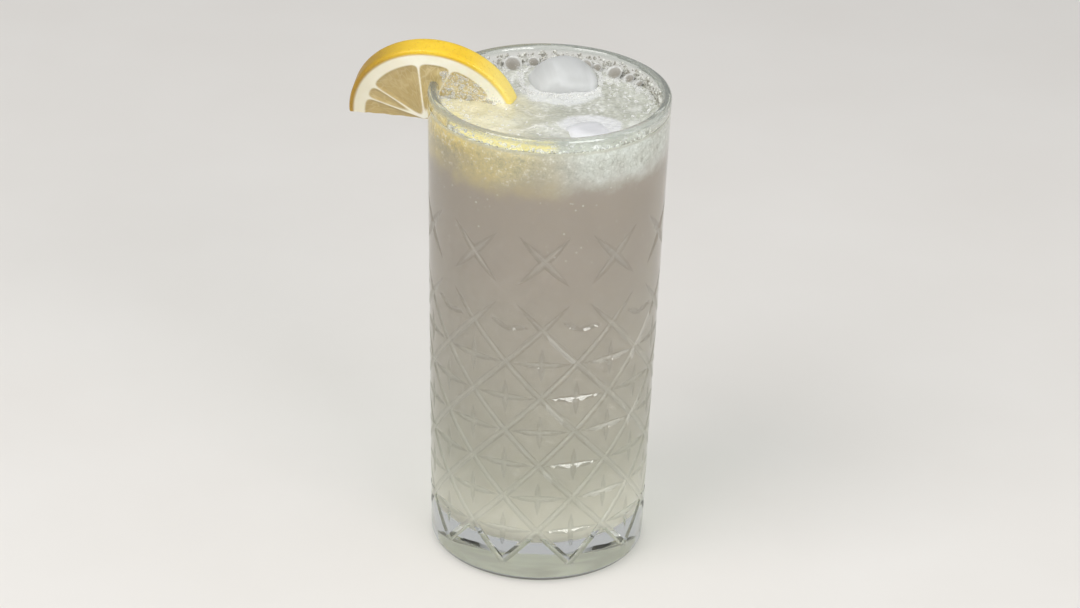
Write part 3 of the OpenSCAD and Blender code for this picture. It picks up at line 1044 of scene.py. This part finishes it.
def make_floor(material):
    mesh = bpy.data.meshes.new("floor")
    corners = [(x * FLOOR_HALF, y * FLOOR_HALF, 0) for x, y in ((-1, -1), (1, -1), (1, 1), (-1, 1))]
    mesh.from_pydata(corners, [], [(0, 1, 2, 3)])
    mesh.materials.append(material)
    floor = bpy.data.objects.new("floor", mesh)
    bpy.context.scene.collection.objects.link(floor)


def aimed(location, target, roll=0.0):
    """A turned frame that looks from location to target."""
    look = (np.array(target) - location)
    look = look / np.linalg.norm(look)
    right = np.cross(look, (0, 0, 1.0))
    right /= np.linalg.norm(right)
    up = np.cross(right, look)
    r = math.cos(roll) * right + math.sin(roll) * up
    u = -math.sin(roll) * right + math.cos(roll) * up
    return Matrix([[r[i], u[i], -look[i], location[i]] for i in range(3)] + [[0, 0, 0, 1]])


def around_target(target, azimuth, elevation, distance):
    """A place at that distance, azimuth from the front towards the right, elevation above level."""
    a, e = math.radians(azimuth), math.radians(elevation)
    way = np.array([math.sin(a) * math.cos(e), -math.cos(a) * math.cos(e), math.sin(e)])
    return np.array(target) + way * distance


def make_lamp(name, azimuth, elevation, distance, width, height, power):
    data = bpy.data.lights.new(name, "AREA")
    data.shape = "RECTANGLE"
    data.size, data.size_y = width, height
    data.energy = power
    lamp = bpy.data.objects.new(name, data)
    target = (0, 0, GLASS_H / 2)
    lamp.matrix_world = aimed(around_target(target, azimuth, elevation, distance), target)
    bpy.context.scene.collection.objects.link(lamp)


def make_camera():
    data = bpy.data.cameras.new("camera")
    data.lens = CAMERA_LENS
    data.sensor_width = 36
    data.clip_start = 0.01
    camera = bpy.data.objects.new("camera", data)
    place = around_target(CAMERA_TARGET, 0, CAMERA_ELEVATION, CAMERA_DISTANCE)
    camera.matrix_world = aimed(place, CAMERA_TARGET, math.radians(CAMERA_ROLL))
    bpy.context.scene.collection.objects.link(camera)
    bpy.context.scene.camera = camera


def make_world():
    """Soft light from all round, brightest overhead and dimmer near the horizon."""
    world = bpy.data.worlds.new("studio")
    bpy.context.scene.world = world
    world.use_nodes = True
    tree = world.node_tree
    tree.nodes.clear()
    output = tree.nodes.new("ShaderNodeOutputWorld")
    light = tree.nodes.new("ShaderNodeBackground")
    ramp = tree.nodes.new("ShaderNodeValToRGB")
    place = tree.nodes.new("ShaderNodeTexCoord")
    split = tree.nodes.new("ShaderNodeSeparateXYZ")
    ramp.color_ramp.elements[0].position = 0.0
    ramp.color_ramp.elements[0].color = (0.52, 0.52, 0.52, 1)
    ramp.color_ramp.elements[1].position = 0.75
    ramp.color_ramp.elements[1].color = (0.80, 0.81, 0.83, 1)
    tree.links.new(place.outputs["Generated"], split.inputs[0])
    tree.links.new(split.outputs["Z"], ramp.inputs[0])
    tree.links.new(ramp.outputs[0], light.inputs["Color"])
    light.inputs["Strength"].default_value = 0.66
    tree.links.new(light.outputs[0], output.inputs["Surface"])


bpy.context.scene.view_settings.view_transform = "Standard"

bubble_film = bubble_look()
make_glass(glass_look())
make_drink(drink_side_look(), drink_top_look())
wet_ice = ice_look("wet ice", rgb(200, 201, 200), rgb(227, 228, 228))
# the front ice gets lighter colours as painted light, for the light that the drink round it keeps away
brightened_ice = ice_look("ice under foam, painted brighter", rgb(218, 218, 220), rgb(240, 240, 242))
make_ice("ice_cube_back", "ice_back", wet_ice, ICE_BACK, ICE_BACK_TOP, 3, 0.5)
make_ice("ice_cube_front", "ice_front", brightened_ice, ICE_FRONT, ICE_FRONT_TOP, 8, 0.03)
make_slice(lemon_look())
make_froth(bubble_film)
make_large_bubbles(bubble_film, shaded_drink_look())
fine_foam = fine_foam_look()
make_wall_bubbles(fine_foam)
make_ice_foam(bubble_film)
make_slice_bubbles(bubble_film)
make_floor(floor_look())
make_world()
for lamp in LAMPS:
    make_lamp(*lamp)
make_camera()
